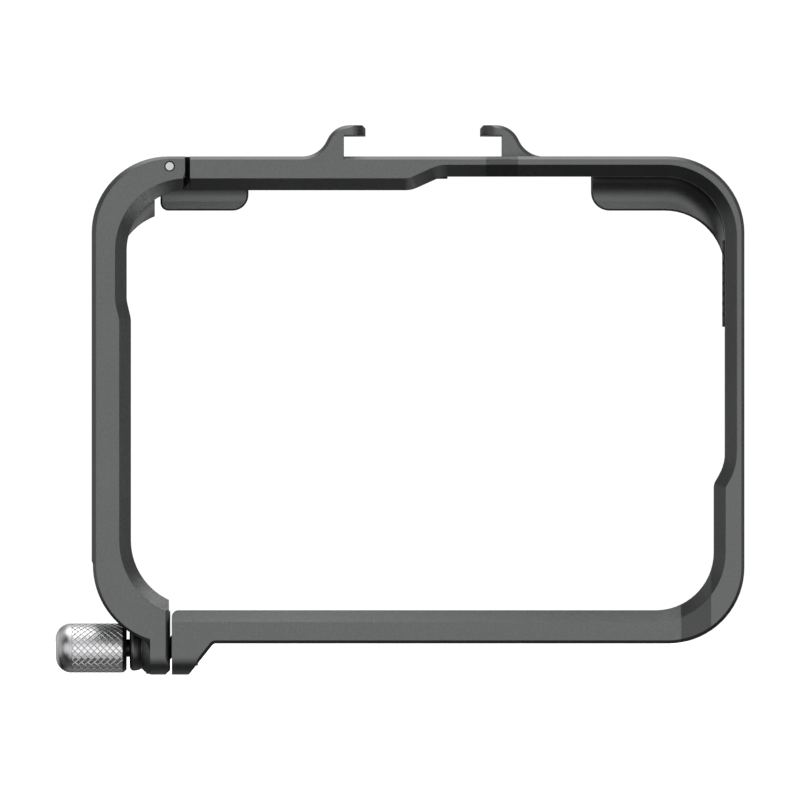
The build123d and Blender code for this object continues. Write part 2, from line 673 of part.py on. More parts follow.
def side_arm():
    """Machined swinging arm: rim, wall, hinge leaves, rear lip, lug and boss."""
    body = arm_rim() + arm_wall()
    end_cut = make_face(Polyline(
        (ARM_END_X + 1, 55.6),
        (ARM_END_X, 55.6),
        (-27.72, 54.9),
        (-27.72, 54.08),
        (-28.45, 53.25),
        (-28.45, 52.0),
        (ARM_END_X + 1, 52.0),
        close=True,
    ))
    body -= plate(end_cut, -20, BAY_FRONT_Y)
    knuckle_room = make_face(Polyline(
        (PIN_X - 1.55, 50),
        (PIN_X - 1.55, PIN_Z + 0.25),
        (PIN_X - 2.05, HEIGHT + 0.2),
        (PIN_X + 4, HEIGHT + 0.2),
        (PIN_X + 4, 50),
        close=True,
    ))
    body -= plate(knuckle_room, -LEAF_INNER_Y, LEAF_INNER_Y)
    body -= block(ARM_LIP_END_X, -20, REAR_LEAF_BACK_Y, BACK_Y + 1, 48, 60)
    body += arm_rear_lip()
    body -= rod_y(PIN_R + PRESS_CLEARANCE, FRONT_LEFT_Y - 1, REAR_LEAF_BACK_Y + 1)
    body -= rod_x(KNOB_RELIEF_R, -50, BOSS_END_X)
    body += screw_boss() + lug_blend()
    body -= lug_rounding(-40, -20)
    body -= Plane.XZ.offset(-20) * extrude(make_face(Polyline(
        (ARM_FACE_X + 0.1, LUG_BOTTOM - 0.1),
        (ARM_FACE_X + 0.1, LUG_BOTTOM + 0.47),
        (ARM_FACE_X - 0.57, LUG_BOTTOM - 0.1),
        close=True,
    )), amount=40)
    body -= rod_x(BUSH_R + PRESS_CLEARANCE, BOSS_END_X - 1, ARM_FACE_X + 1)
    across, along = ARM_PAD
    body -= rounded_block("x", grown(across, PAD_GAP), grown(along, PAD_GAP),
                          PAD_CORNER_R + PAD_GAP, BAY_LEFT - PAD_DEPTH, BAY_LEFT + 1)
    across, along = ARM_STRIP
    body -= rounded_block("y", grown(across, PAD_GAP), grown(along, PAD_GAP),
                          STRIP_CORNER_R + PAD_GAP, BAY_FRONT_Y - STRIP_DEPTH, BAY_FRONT_Y + 1)
    return body - rounded_block("x", *PORT_OPENING, PORT_OPENING_R, -45, BAY_LEFT + 1)


# Hinge hardware

def hinge_pin():
    """Dowel pressed through the arm's two leaves, tapered at both ends."""
    inset, length = PIN_END_TAPER
    pin = rod_y(PIN_R, PIN_FRONT_Y + length, PIN_BACK_Y - length)
    for y_middle, turn in ((PIN_FRONT_Y + length / 2, 90), (PIN_BACK_Y - length / 2, -90)):
        pin += Pos(PIN_X, y_middle, PIN_Z) * Rot(turn, 0, 0) * Cone(PIN_R, PIN_R - inset, length)
    return pin


def hinge_washer(side):
    """Slip washer between the knuckle and a leaf; side is -1 at the front."""
    thickness = LEAF_INNER_Y - KNUCKLE_HALF - 2 * WASHER_PLAY
    middle = side * (LEAF_INNER_Y + KNUCKLE_HALF) / 2
    y_low = middle - thickness / 2
    y_high = middle + thickness / 2
    return rod_y(WASHER_R, y_low, y_high) - rod_y(PIN_R + WASHER_PLAY, y_low - 1, y_high + 1)


# Thumb screw

def thumb_knob():
    """Round grip with a domed end, pressed on the screw's shank."""
    grip = rod_x(KNOB_R, KNOB_END_X, KNOB_BACK_X)
    end_edge = grip.edges().filter_by(GeomType.CIRCLE).sort_by(Axis.X)[0]
    grip = fillet(end_edge, KNOB_DOME)
    hole_end = KNOB_BACK_X - KNOB_HOLE - PRESS_CLEARANCE
    return grip - rod_x(SHANK_R + PRESS_CLEARANCE, hole_end, KNOB_BACK_X + 1)


def thumb_screw():
    """Screw with a relieved shank, so that it stays captive in the arm's bush."""
    shank = rod_x(SHANK_R, KNOB_BACK_X - KNOB_HOLE, THREAD_START_X + 0.5)
    thread = rod_x(THREAD_R, THREAD_START_X, SCREW_TIP_X)
    ends = thread.edges().filter_by(GeomType.CIRCLE)
    return shank + chamfer(ends, THREAD_CHAMFER)


def knob_washer():
    """Dark ring behind the grip, with a bevelled edge."""
    ring = rod_x(KNOB_R, KNOB_BACK_X + 0.02, WASHER_BACK_X)
    edge = ring.edges().filter_by(GeomType.CIRCLE).sort_by(Axis.X)[-1]
    ring = chamfer(edge, RING_BEVEL)
    return ring - rod_x(SHANK_R + RUNNING_CLEARANCE, KNOB_BACK_X - 1, WASHER_BACK_X + 1)


def arm_screw_bush():
    """Bush in the arm's boss: a narrow collar keeps the screw's thread inside."""
    bush = rod_x(BUSH_R, BOSS_END_X, ARM_FACE_X)
    bush -= rod_x(SHANK_R + 0.07, BOSS_END_X - 1, BUSH_COLLAR_X + 0.5)
    return bush - rod_x(THREAD_R + 0.05, BUSH_COLLAR_X, ARM_FACE_X + 1)


def lug_thread_insert():
    """Insert in the frame's lug that the thumb screw clamps into."""
    insert = rod_x(INSERT_R, LUG_FACE_X, INSERT_END_X)
    return insert - rod_x(INSERT_THREAD_R, LUG_FACE_X - 1, INSERT_END_X + 1)


def tripod_thread_insert():
    """Insert in the floor for a tripod screw."""
    ring = Pos(0, 0, BAY_FLOOR / 2) * Cylinder(TRIPOD_INSERT_R, BAY_FLOOR)
    return ring - Pos(0, 0, BAY_FLOOR / 2) * Cylinder(TRIPOD_R, 2 * BAY_FLOOR)


# Silicone pads and strips

def bay_pads():
    """Every pad that lines the bay, by node name."""
    pads = {}
    across, along = WALL_PAD
    pads["right_wall_pad"] = rounded_block("x", across, along, PAD_CORNER_R,
                                           BAY_RIGHT - PAD_PROUD, BAY_RIGHT + PAD_DEPTH)
    across, along = ARM_PAD
    pads["arm_pad"] = rounded_block("x", across, along, PAD_CORNER_R,
                                    BAY_LEFT - PAD_DEPTH, BAY_LEFT + PAD_PROUD)
    for name, (across, along) in TOP_PADS.items():
        pads["top_pad_" + name] = rounded_block("z", across, along, PAD_CORNER_R,
                                                BAY_TOP - PAD_PROUD, BAY_TOP + PAD_DEPTH)
    for name, (across, along) in FLOOR_PADS.items():
        pads["floor_pad_" + name] = rounded_block("z", across, along, PAD_CORNER_R,
                                                  BAY_FLOOR - PAD_DEPTH,
                                                  BAY_FLOOR + FLOOR_PAD_PROUD)
    strips = {"top": TOP_STRIP, "right": RIGHT_STRIP, "arm": ARM_STRIP}
    for name, (across, along) in strips.items():
        pads["front_strip_" + name] = rounded_block("y", across, along, STRIP_CORNER_R,
                                                    BAY_FRONT_Y - STRIP_DEPTH,
                                                    BAY_FRONT_Y + STRIP_PROUD)
    return pads


nodes = {
    "main_frame": main_frame(),
    "side_arm": side_arm(),
    "hinge_pin": hinge_pin(),
    "hinge_washer_front": hinge_washer(-1),
    "hinge_washer_rear": hinge_washer(1),
    "thumb_knob": thumb_knob(),
    "thumb_screw": thumb_screw(),
    "knob_washer": knob_washer(),
    "arm_screw_bush": arm_screw_bush(),
    "lug_thread_insert": lug_thread_insert(),
    "tripod_thread_insert": tripod_thread_insert(),
}
nodes.update(bay_pads())

os.makedirs("parts", exist_ok=True)
for name, shape in nodes.items():
    export_step(shape, "parts/" + name + ".step")
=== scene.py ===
from math import cos, pi, radians, sin

import bmesh
import bpy
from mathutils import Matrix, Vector


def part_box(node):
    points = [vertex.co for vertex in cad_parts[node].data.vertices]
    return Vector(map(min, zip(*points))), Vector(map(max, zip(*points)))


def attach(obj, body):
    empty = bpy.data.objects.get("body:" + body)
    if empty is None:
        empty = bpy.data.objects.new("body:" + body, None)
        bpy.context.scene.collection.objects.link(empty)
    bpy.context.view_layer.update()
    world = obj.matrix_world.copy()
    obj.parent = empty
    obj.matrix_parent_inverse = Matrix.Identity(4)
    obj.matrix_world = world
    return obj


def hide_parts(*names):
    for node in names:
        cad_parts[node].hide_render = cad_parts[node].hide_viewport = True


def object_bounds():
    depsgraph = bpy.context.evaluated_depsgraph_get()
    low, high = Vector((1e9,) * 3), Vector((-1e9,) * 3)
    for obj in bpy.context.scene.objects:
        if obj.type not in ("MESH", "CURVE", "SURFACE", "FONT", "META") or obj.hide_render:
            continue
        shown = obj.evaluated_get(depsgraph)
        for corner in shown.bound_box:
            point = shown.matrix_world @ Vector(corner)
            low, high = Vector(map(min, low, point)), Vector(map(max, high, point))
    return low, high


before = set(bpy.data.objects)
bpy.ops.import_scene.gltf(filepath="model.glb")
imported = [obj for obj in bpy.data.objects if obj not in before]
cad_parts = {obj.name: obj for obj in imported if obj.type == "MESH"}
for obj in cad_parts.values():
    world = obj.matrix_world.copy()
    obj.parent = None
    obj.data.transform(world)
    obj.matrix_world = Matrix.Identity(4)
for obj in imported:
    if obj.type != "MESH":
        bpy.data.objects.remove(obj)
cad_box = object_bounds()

# Camera
# A very long lens stands level in front of the cage, so that its walls are seen edge on.

MM = 0.001
PICTURE_WIDTH = 94.38 * MM
PICTURE_MIDDLE = (-2.12 * MM, 28.73 * MM)
PICTURE_Y = -13.0 * MM
LENS = 1700.0
SENSOR = 36.0

camera_data = bpy.data.cameras.new("studio_camera")
camera_data.lens = LENS
camera_data.sensor_width = SENSOR
camera_data.clip_start = 0.1
camera_data.clip_end = 50.0
camera = bpy.data.objects.new("studio_camera", camera_data)
bpy.context.scene.collection.objects.link(camera)
camera_distance = PICTURE_WIDTH * LENS / SENSOR
camera.location = (PICTURE_MIDDLE[0], PICTURE_Y - camera_distance, PICTURE_MIDDLE[1])
camera.rotation_euler = (pi / 2, 0, 0)
bpy.context.scene.camera = camera


# Main frame and side arm
# Both are machined from 6061 aluminium, blasted with glass beads and hard anodised in dark
# grey. The arm swings on a pin in the frame's top left corner.

ALUMINIUM = (0.150, 0.155, 0.152)
ALUMINIUM_DARK = (0.118, 0.122, 0.120)
BEAD_SIZE = 0.19 * MM
BEAD_DEPTH = 0.012 * MM
CLOUD_SIZE = 9.0 * MM
EDGE_R = 0.10 * MM
EDGE_SAMPLES = 6
ANODISED_ROUGHNESS = 0.36
ANODISED_SPREAD = 0.08

# Noise values between which a pattern runs from 0 to 1, and the speckle's part in the whole
SPECKLE_RANGE = (0.32, 0.68)
CLOUD_RANGE = (0.30, 0.70)
SPECKLE_SHARE = 0.72

# Colour sockets of a Mix node
MIX_A = 6
MIX_B = 7
MIX_RESULT = 2

# Sockets that every finish has, besides its own
FINISH_SOCKETS = (
    ("INPUT", "Light Color", "NodeSocketColor"),
    ("INPUT", "Dark Color", "NodeSocketColor"),
    ("INPUT", "Roughness", "NodeSocketFloat"),
    ("INPUT", "Roughness Spread", "NodeSocketFloat"),
    ("OUTPUT", "Color", "NodeSocketColor"),
    ("OUTPUT", "Roughness", "NodeSocketFloat"),
    ("OUTPUT", "Height", "NodeSocketFloat"),
)


def wire(tree, start, end):
    """Joins two sockets, each given as (node, name or number)."""
    tree.links.new(start[0].outputs[start[1]], end[0].inputs[end[1]])


def node(tree, kind, **settings):
    """Adds a node. A key with in_ first sets an input by name or number, any other a property."""
    made = tree.nodes.new(kind)
    for key, value in settings.items():
        name = key.removeprefix("in_")
        if name == key:
            setattr(made, key, value)
        else:
            made.inputs[int(name) if name.isdigit() else name].default_value = value
    return made


def start_finish(name, *own_sockets):
    """Starts a node group for a finish: (group, input node, output node)."""
    group = bpy.data.node_groups.new(name, "ShaderNodeTree")
    for direction, socket, kind in (*own_sockets, *FINISH_SOCKETS):
        group.interface.new_socket(name=socket, in_out=direction, socket_type=kind)
    return group, node(group, "NodeGroupInput"), node(group, "NodeGroupOutput")


def end_finish(group, inside, out, pattern, height):
    """Makes the colour and the roughness from a pattern of 0 to 1, and passes on the height."""
    colour = node(group, "ShaderNodeMix", data_type="RGBA")
    swing = node(group, "ShaderNodeMath", operation="SUBTRACT", in_1=0.5)
    rough = node(group, "ShaderNodeMath", operation="MULTIPLY_ADD", use_clamp=True)
    wire(group, (pattern, 0), (colour, 0))
    wire(group, (inside, "Dark Color"), (colour, MIX_A))
    wire(group, (inside, "Light Color"), (colour, MIX_B))
    wire(group, (colour, MIX_RESULT), (out, "Color"))
    wire(group, (pattern, 0), (swing, 0))
    wire(group, (swing, 0), (rough, 0))
    wire(group, (inside, "Roughness Spread"), (rough, 1))
    wire(group, (inside, "Roughness"), (rough, 2))
    wire(group, (rough, 0), (out, "Roughness"))
    wire(group, (height, 0), (out, "Height"))


def sized_noise(group, inside, size, place, detail, span):
    """Noise with grains of the size from an input: (noise, the same spread over 0 to 1)."""
    scale = node(group, "ShaderNodeMath", operation="DIVIDE", in_0=1.0)
    noise = node(group, "ShaderNodeTexNoise", in_Detail=detail)
    spread = node(group, "ShaderNodeMapRange", in_1=span[0], in_2=span[1])
    wire(group, (inside, size), (scale, 1))
    wire(group, place, (noise, "Vector"))
    wire(group, (scale, 0), (noise, "Scale"))
    wire(group, (noise, 0), (spread, 0))
    return noise, spread


def fine_grain_group():
    """Raised speckle over soft clouds of colour, for blasted metal and moulded surfaces."""
    group, inside, out = start_finish(
        "fine_grain", ("INPUT", "Grain Size", "NodeSocketFloat"),
        ("INPUT", "Cloud Size", "NodeSocketFloat"))
    place = (node(group, "ShaderNodeTexCoord"), "Object")
    grain, speckle = sized_noise(group, inside, "Grain Size", place, detail=2.0,
                                 span=SPECKLE_RANGE)
    drift = sized_noise(group, inside, "Cloud Size", place, detail=3.0, span=CLOUD_RANGE)[1]
    blend = node(group, "ShaderNodeMath", operation="MULTIPLY_ADD", in_1=SPECKLE_SHARE)
    share = node(group, "ShaderNodeMath", operation="MULTIPLY", in_1=1 - SPECKLE_SHARE)
    wire(group, (drift, 0), (share, 0))
    wire(group, (speckle, 0), (blend, 0))
    wire(group, (share, 0), (blend, 2))
    end_finish(group, inside, out, blend, grain)
    return group


FINE_GRAIN = fine_grain_group()


def new_material(name):
    """A material with an empty Principled shader: (material, tree, shader)."""
    material = bpy.data.materials.new(name)
    material.use_nodes = True
    return material, material.node_tree, material.node_tree.nodes["Principled BSDF"]


def apply_finish(tree, shader, group, light, dark, roughness, spread, depth):
    """Feeds a shader from a finish group; spread is the swing of roughness, depth the relief."""
    group.inputs["Light Color"].default_value = (*light, 1)
    group.inputs["Dark Color"].default_value = (*dark, 1)
    group.inputs["Roughness"].default_value = roughness
    group.inputs["Roughness Spread"].default_value = spread
    bump = node(tree, "ShaderNodeBump", in_Strength=1.0, in_Distance=depth)
    wire(tree, (group, "Color"), (shader, "Base Color"))
    wire(tree, (group, "Roughness"), (shader, "Roughness"))
    wire(tree, (group, "Height"), (bump, "Height"))
    wire(tree, (bump, "Normal"), (shader, "Normal"))
    return bump


def grained(tree, shader, light, dark, grain, roughness, spread, depth):
    """Feeds a shader from the fine grain group."""
    group = node(tree, "ShaderNodeGroup", node_tree=FINE_GRAIN)
    group.inputs["Grain Size"].default_value = grain
    group.inputs["Cloud Size"].default_value = CLOUD_SIZE
    return apply_finish(tree, shader, group, light, dark, roughness, spread, depth)


def anodised_aluminium():
    """Dark grey anodised skin over a bead-blasted surface, its edges rounded by the blasting."""
    material, tree, shader = new_material("anodised_aluminium")
    shader.inputs["Metallic"].default_value = 1.0
    bump = grained(tree, shader, ALUMINIUM, ALUMINIUM_DARK, BEAD_SIZE, ANODISED_ROUGHNESS,
                   ANODISED_SPREAD, BEAD_DEPTH)
    edge = node(tree, "ShaderNodeBevel", samples=EDGE_SAMPLES, in_Radius=EDGE_R)
    wire(tree, (edge, "Normal"), (bump, "Normal"))
    return material


def dress(name, material):
    """Gives a CAD node its finish."""
    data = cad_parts[name].data
    data.materials.clear()
    data.materials.append(material)


aluminium = anodised_aluminium()
for name in ("main_frame", "side_arm"):
    dress(name, aluminium)


# Hinge pin
# A hardened steel dowel with ground ends, pressed through the arm's two leaves.

STEEL = (0.60, 0.60, 0.61)
STEEL_DARK = (0.50, 0.50, 0.51)
RING_RANGE = (0.30, 0.70)


def turning_group():
    """Fine rings left by a lathe tool. Vector has the piece's axis along X, through zero."""
    group, inside, out = start_finish(
        "turning_marks", ("INPUT", "Vector", "NodeSocketVector"),
        ("INPUT", "Ring Size", "NodeSocketFloat"))
    split = node(group, "ShaderNodeSeparateXYZ")
    across = node(group, "ShaderNodeCombineXYZ")
    radius = node(group, "ShaderNodeVectorMath", operation="LENGTH")
    place = node(group, "ShaderNodeCombineXYZ")
    wire(group, (inside, "Vector"), (split, 0))
    wire(group, (split, 1), (across, 0))
    wire(group, (split, 2), (across, 1))
    wire(group, (across, 0), (radius, 0))
    wire(group, (split, 0), (place, 0))
    wire(group, (radius, 1), (place, 1))
    rings, even = sized_noise(group, inside, "Ring Size", (place, 0), detail=3.0,
                              span=RING_RANGE)
    end_finish(group, inside, out, even, rings)
    return group


TURNING = turning_group()


def turned_metal(name, light, dark, centre, ring, roughness, spread, depth, turn=(0, 0, 0)):
    """Lathe-turned metal; centre is a point on the axis and turn brings the axis onto X."""
    material, tree, shader = new_material(name)
    shader.inputs["Metallic"].default_value = 1.0
    place = node(tree, "ShaderNodeTexCoord")
    lay = node(tree, "ShaderNodeMapping", vector_type="TEXTURE", in_Location=centre,
               in_Rotation=turn)
    group = node(tree, "ShaderNodeGroup", node_tree=TURNING)
    group.inputs["Ring Size"].default_value = ring
    wire(tree, (place, "Object"), (lay, "Vector"))
    wire(tree, (lay, 0), (group, "Vector"))
    apply_finish(tree, shader, group, light, dark, roughness, spread, depth)
    return material


def middle_of(name):
    """Middle of a CAD node's box."""
    low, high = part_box(name)
    return (low + high) / 2


dress("hinge_pin", turned_metal(
    "ground_pin_steel", STEEL, STEEL_DARK, middle_of("hinge_pin"), ring=0.06 * MM,
    roughness=0.30, spread=0.12, depth=0.002 * MM, turn=(0, 0, pi / 2)))


# Hinge washers
# Two slip washers stamped from white nylon sheet, one at each end of the frame's knuckle.

NYLON = (0.62, 0.61, 0.58)
NYLON_DARK = (0.50, 0.49, 0.46)


def moulded(name, light, dark, grain, roughness, spread, depth, gloss=0.5):
    """Plastic or rubber with a fine moulded grain."""
    material, tree, shader = new_material(name)
    shader.inputs["Specular IOR Level"].default_value = gloss
    grained(tree, shader, light, dark, grain, roughness, spread, depth)
    return material


white_nylon = moulded("white_nylon", NYLON, NYLON_DARK, grain=0.08 * MM, roughness=0.45,
                      spread=0.12, depth=0.004 * MM)
for name in ("hinge_washer_front", "hinge_washer_rear"):
    dress(name, white_nylon)


# Thumb knob
# A grip turned from stainless steel, with a diamond knurl rolled into its side and a polished
# rounded end, pressed on the screw's shank.

KNURL_AROUND = 26
KNURL_ROWS = 8
KNURL_DEPTH = 0.045 * MM
KNURL_GROOVE = 0.050 * MM
KNURL_ANGLE = 0.3
DOME_LENGTH = 1.92 * MM
DOME_R = 1.85 * MM
DOME_SIDES = 96
SHANK_HOLE_R = 1.06 * MM
# The knurl's steel is painted lighter than the same steel at the polished end. This is painted
# light, standing in for the light that the shade of its grooves takes away.
KNURL_STEEL_PAINTED_LIGHT = (0.80, 0.80, 0.81)
KNURL_STEEL_PAINTED_LIGHT_DARK = (0.70, 0.70, 0.71)
SMOOTH_ANGLE = 0.6
TINY = 0.001 * MM


def begin(name):
    """Names the new primitive, puts its place in its mesh and opens it for editing."""
    made = bpy.context.object
    made.name = made.data.name = name
    bpy.ops.object.transform_apply(location=True, rotation=True, scale=True)
    bpy.ops.object.mode_set(mode="EDIT")
    return made


def add_rod(name, radius, x_low, x_high, centre, sides, ends="NGON"):
    """Starts a piece as a cylinder along X and opens it for editing."""
    bpy.ops.object.select_all(action="DESELECT")
    bpy.ops.mesh.primitive_cylinder_add(
        vertices=sides, radius=radius, depth=x_high - x_low, end_fill_type=ends,
        location=((x_low + x_high) / 2, centre.y, centre.z), rotation=(0, pi / 2, 0))
    return begin(name)


def pick(kind, wanted):
    """In edit mode, selects the verts, edges or faces that pass a test."""
    data = bpy.context.object.data
    bpy.ops.mesh.select_mode(type={"verts": "VERT", "edges": "EDGE", "faces": "FACE"}[kind])
    bpy.ops.mesh.select_all(action="DESELECT")
    mesh = bmesh.from_edit_mesh(data)
    for element in getattr(mesh, kind):
        if wanted(element):
            element.select_set(True)
    mesh.select_flush_mode()
    bmesh.update_edit_mesh(data)


def cut_across(axis, places):
    """Cuts an open mesh with planes square to an axis (0, 1 or 2)."""
    for place in places:
        bpy.ops.mesh.select_all(action="SELECT")
        point = [0.0, 0.0, 0.0]
        normal = [0.0, 0.0, 0.0]
        point[axis] = place
        normal[axis] = 1.0
        bpy.ops.mesh.bisect(plane_co=point, plane_no=normal, threshold=TINY)


def end_edit(angle=None):
    """Closes edit mode, and smooths the shading of edges flatter than an angle."""
    bpy.ops.object.mode_set(mode="OBJECT")
    if angle is not None:
        bpy.ops.object.shade_smooth_by_angle(angle=angle)


def join_into(first, *others):
    """Joins pieces into one object."""
    bpy.ops.object.select_all(action="DESELECT")
    for piece in (first, *others):
        piece.select_set(True)
    bpy.context.view_layer.objects.active = first
    bpy.ops.object.join()
    return first


knob_low, knob_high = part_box("thumb_knob")
knob_axis = (knob_low + knob_high) / 2
knob_r = (knob_high.z - knob_low.z) / 2
grip_x = knob_low.x + DOME_LENGTH
groove_r = knob_r - KNURL_DEPTH


def square_to_x(one, two):
    """Distance between two points, seen along X."""
    return ((one.y - two.y) ** 2 + (one.z - two.z) ** 2) ** 0.5


def runs_round(edge):
    """Whether an edge is square to X."""
    return abs(edge.verts[0].co.x - edge.verts[1].co.x) < TINY


def runs_along(edge):
    """Whether an edge is parallel to X."""
    return square_to_x(edge.verts[0].co, edge.verts[1].co) < TINY


def knurled_sleeve():
    """Sleeve with a grid of raised diamonds, closed down to the shank's hole."""
    made = add_rod("thumb_grip", groove_r, grip_x, knob_high.x, knob_axis, KNURL_AROUND,
                   ends="NOTHING")
    row = (knob_high.x - grip_x) / KNURL_ROWS
    cut_across(0, [grip_x + row * k for k in range(1, KNURL_ROWS)])
    bpy.ops.mesh.select_all(action="SELECT")
    bpy.ops.mesh.poke(offset=0.0)
    pick("verts", lambda v: square_to_x(v.co, knob_axis) < groove_r - TINY)
    swell = 1 / cos(pi / KNURL_AROUND)
    bpy.ops.transform.resize(value=(1, swell, swell), center_override=knob_axis)
    pick("edges", lambda e: len(e.link_faces) == 2 and (runs_round(e) or runs_along(e)))
    bpy.ops.mesh.dissolve_edges(use_verts=False)
    bpy.ops.mesh.select_mode(type="FACE")
    bpy.ops.mesh.select_all(action="SELECT")
    bpy.ops.mesh.inset(thickness=KNURL_GROOVE, depth=KNURL_DEPTH, use_individual=True)
    pick("edges", lambda e: len(e.link_faces) == 1)
    bpy.ops.mesh.extrude_edges_move()
    shrink = SHANK_HOLE_R / groove_r
    bpy.ops.transform.resize(value=(1, shrink, shrink), center_override=knob_axis)
    pick("edges", lambda e: len(e.link_faces) == 1)
    bpy.ops.mesh.bridge_edge_loops()
    end_edit(KNURL_ANGLE)
    return made


def polished_end():
    """Rounded end of the grip, with its flat face."""
    made = add_rod("thumb_grip_end", knob_r, knob_low.x, grip_x, knob_axis, DOME_SIDES)
    pick("edges", lambda e: all(v.co.x < knob_low.x + TINY for v in e.verts))
    bpy.ops.mesh.bevel(offset=DOME_R, segments=14, profile=0.5)
    end_edit(SMOOTH_ANGLE)
    return made


knurl_steel = turned_metal("knurled_steel", KNURL_STEEL_PAINTED_LIGHT, KNURL_STEEL_PAINTED_LIGHT_DARK, knob_axis,
                           ring=0.10 * MM, roughness=0.22, spread=0.10, depth=0.002 * MM)
polished_steel = turned_metal("polished_steel", STEEL, STEEL_DARK, knob_axis,
                              ring=0.05 * MM, roughness=0.27, spread=0.06, depth=0.001 * MM)
knob_end = polished_end()
knob_end.data.materials.append(polished_steel)
knob = knurled_sleeve()
knob.data.materials.append(knurl_steel)
knob = join_into(knob, knob_end)
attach(knob, "clamp_screw")
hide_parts("thumb_knob")


# Thumb screw
# An M3 screw with a relieved shank, blackened. The shank turns freely in the arm's bush and
# the thread is too wide to leave it.

M3_PITCH = 0.5 * MM
M3_THREAD_DEPTH = 0.30 * MM
M3_THREAD_LENGTH = 4.08 * MM
M3_LEAD_IN = 0.30 * MM
M3_STEPS = 40
BLANK_SIDES = 48
SHANK_R = 1.05 * MM
SHANK_SIDES = 64
BLACK_STEEL = (0.045, 0.045, 0.048)
BLACK_STEEL_DARK = (0.020, 0.020, 0.022)

# A thread's flats as a share of its pitch, and the turns drawn past each end and cut off
THREAD_FLAT = 1 / 8
SPARE_TURNS = 1.5


def trace(name, points):
    """Draws an open line through points in the XZ plane by extruding one vertex."""
    bpy.ops.object.select_all(action="DESELECT")
    bpy.ops.mesh.primitive_plane_add(size=1 * MM)
    made = begin(name)
    bpy.ops.mesh.select_mode(type="VERT")
    bpy.ops.mesh.select_all(action="SELECT")
    bpy.ops.mesh.merge(type="CENTER")
    bpy.ops.transform.translate(value=(points[0][0], 0, points[0][1]))
    for one, two in zip(points, points[1:]):
        step = (two[0] - one[0], 0, two[1] - one[1])
        bpy.ops.mesh.extrude_region_move(TRANSFORM_OT_translate={"value": step})
    return made


def apply_modifier(made, kind, **settings):
    """Adds a modifier with its settings and applies it."""
    modifier = made.modifiers.new(kind.lower(), kind)
    for key, value in settings.items():
        setattr(modifier, key, value)
    bpy.ops.object.select_all(action="DESELECT")
    made.select_set(True)
    bpy.context.view_layer.objects.active = made
    bpy.ops.object.modifier_apply(modifier=modifier.name)


def threaded_rod(name, crest_r, root_r, pitch, x_low, x_high, centre, steps):
    """Closed rod along X with a helical V thread, cut off flat from a longer one."""
    flat = pitch * THREAD_FLAT
    slope = pitch / 2 - flat
    made = trace(name, [(0, root_r), (flat, root_r), (flat + slope, crest_r),
                        (2 * flat + slope, crest_r), (pitch, root_r)])
    bpy.ops.object.mode_set(mode="OBJECT")
    turns = int((x_high - x_low) / pitch + 2 * SPARE_TURNS)
    apply_modifier(made, "SCREW", axis="X", screw_offset=pitch, iterations=turns,
                   steps=steps, render_steps=steps, use_merge_vertices=True,
                   merge_threshold=TINY, use_smooth_shade=True)
    made.location = (x_low - SPARE_TURNS * pitch, centre.y, centre.z)
    bpy.ops.object.transform_apply(location=True, rotation=True, scale=True)
    bpy.ops.object.mode_set(mode="EDIT")
    bpy.ops.mesh.select_all(action="SELECT")
    bpy.ops.mesh.remove_doubles(threshold=TINY)
    for place, low_side in ((x_low, True), (x_high, False)):
        bpy.ops.mesh.select_all(action="SELECT")
        bpy.ops.mesh.bisect(plane_co=(place, 0, 0), plane_no=(1, 0, 0), use_fill=True,
                            clear_inner=low_side, clear_outer=not low_side, threshold=TINY)
    bpy.ops.mesh.select_all(action="SELECT")
    bpy.ops.mesh.normals_make_consistent(inside=False)
    end_edit()
    return made


def boolean(made, tool, operation):
    """Combines a piece with another, which is then deleted."""
    apply_modifier(made, "BOOLEAN", operation=operation, object=tool, solver="EXACT")
    bpy.data.objects.remove(tool)


screw_low, screw_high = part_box("thumb_screw")
thread_r = (screw_high.z - screw_low.z) / 2
thread_x = screw_high.x - M3_THREAD_LENGTH

screw = threaded_rod("captive_screw", thread_r, thread_r - M3_THREAD_DEPTH, M3_PITCH,
                     thread_x, screw_high.x, knob_axis, M3_STEPS)
blank = add_rod("screw_blank", thread_r + TINY, thread_x, screw_high.x, knob_axis, BLANK_SIDES)
pick("edges", runs_round)
bpy.ops.mesh.bevel(offset=M3_LEAD_IN, segments=1)
end_edit()
boolean(screw, blank, "INTERSECT")
shank = add_rod("screw_shank", SHANK_R, screw_low.x, thread_x + M3_PITCH, knob_axis, SHANK_SIDES)
end_edit(SMOOTH_ANGLE)
screw = join_into(screw, shank)
bpy.ops.object.shade_smooth_by_angle(angle=SMOOTH_ANGLE)
screw.data.materials.clear()
screw.data.materials.append(turned_metal(
    "blackened_steel", BLACK_STEEL, BLACK_STEEL_DARK, knob_axis, ring=0.06 * MM,
    roughness=0.30, spread=0.15, depth=0.003 * MM))
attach(screw, "clamp_screw")
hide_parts("thumb_screw")


# Knob washer
# A ring of black nylon behind the grip, which keeps the steel off the anodised boss.

BLACK_NYLON = (0.016, 0.016, 0.017)
BLACK_NYLON_DARK = (0.008, 0.008, 0.009)

dress("knob_washer", moulded("black_nylon", BLACK_NYLON, BLACK_NYLON_DARK, grain=0.10 * MM,
                             roughness=0.38, spread=0.12, depth=0.004 * MM))


# Bush in the arm
# A turned stainless bush pressed through the boss. Its narrow collar keeps the screw in.

dress("arm_screw_bush", turned_metal(
    "bush_steel", STEEL, STEEL_DARK, middle_of("arm_screw_bush"), ring=0.08 * MM,
    roughness=0.32, spread=0.12, depth=0.002 * MM))


# Thread inserts
# Stainless sleeves with cut threads, pressed into the clamping lug (M3) and up into the
# floor (1/4 inch, 20 threads per inch), flush with the metal round them.

LUG_BORE_R = 1.62 * MM
LUG_THREAD_DEPTH = 0.28 * MM
LUG_SIDES = 64
TRIPOD_BORE_R = 2.56 * MM
TRIPOD_THREAD_DEPTH = 0.62 * MM
TRIPOD_PITCH = 1.27 * MM
TRIPOD_STEPS = 64
TRIPOD_SIDES = 96
INSERT_EDGE = 0.12 * MM
BORE_PAST = 0.3 * MM


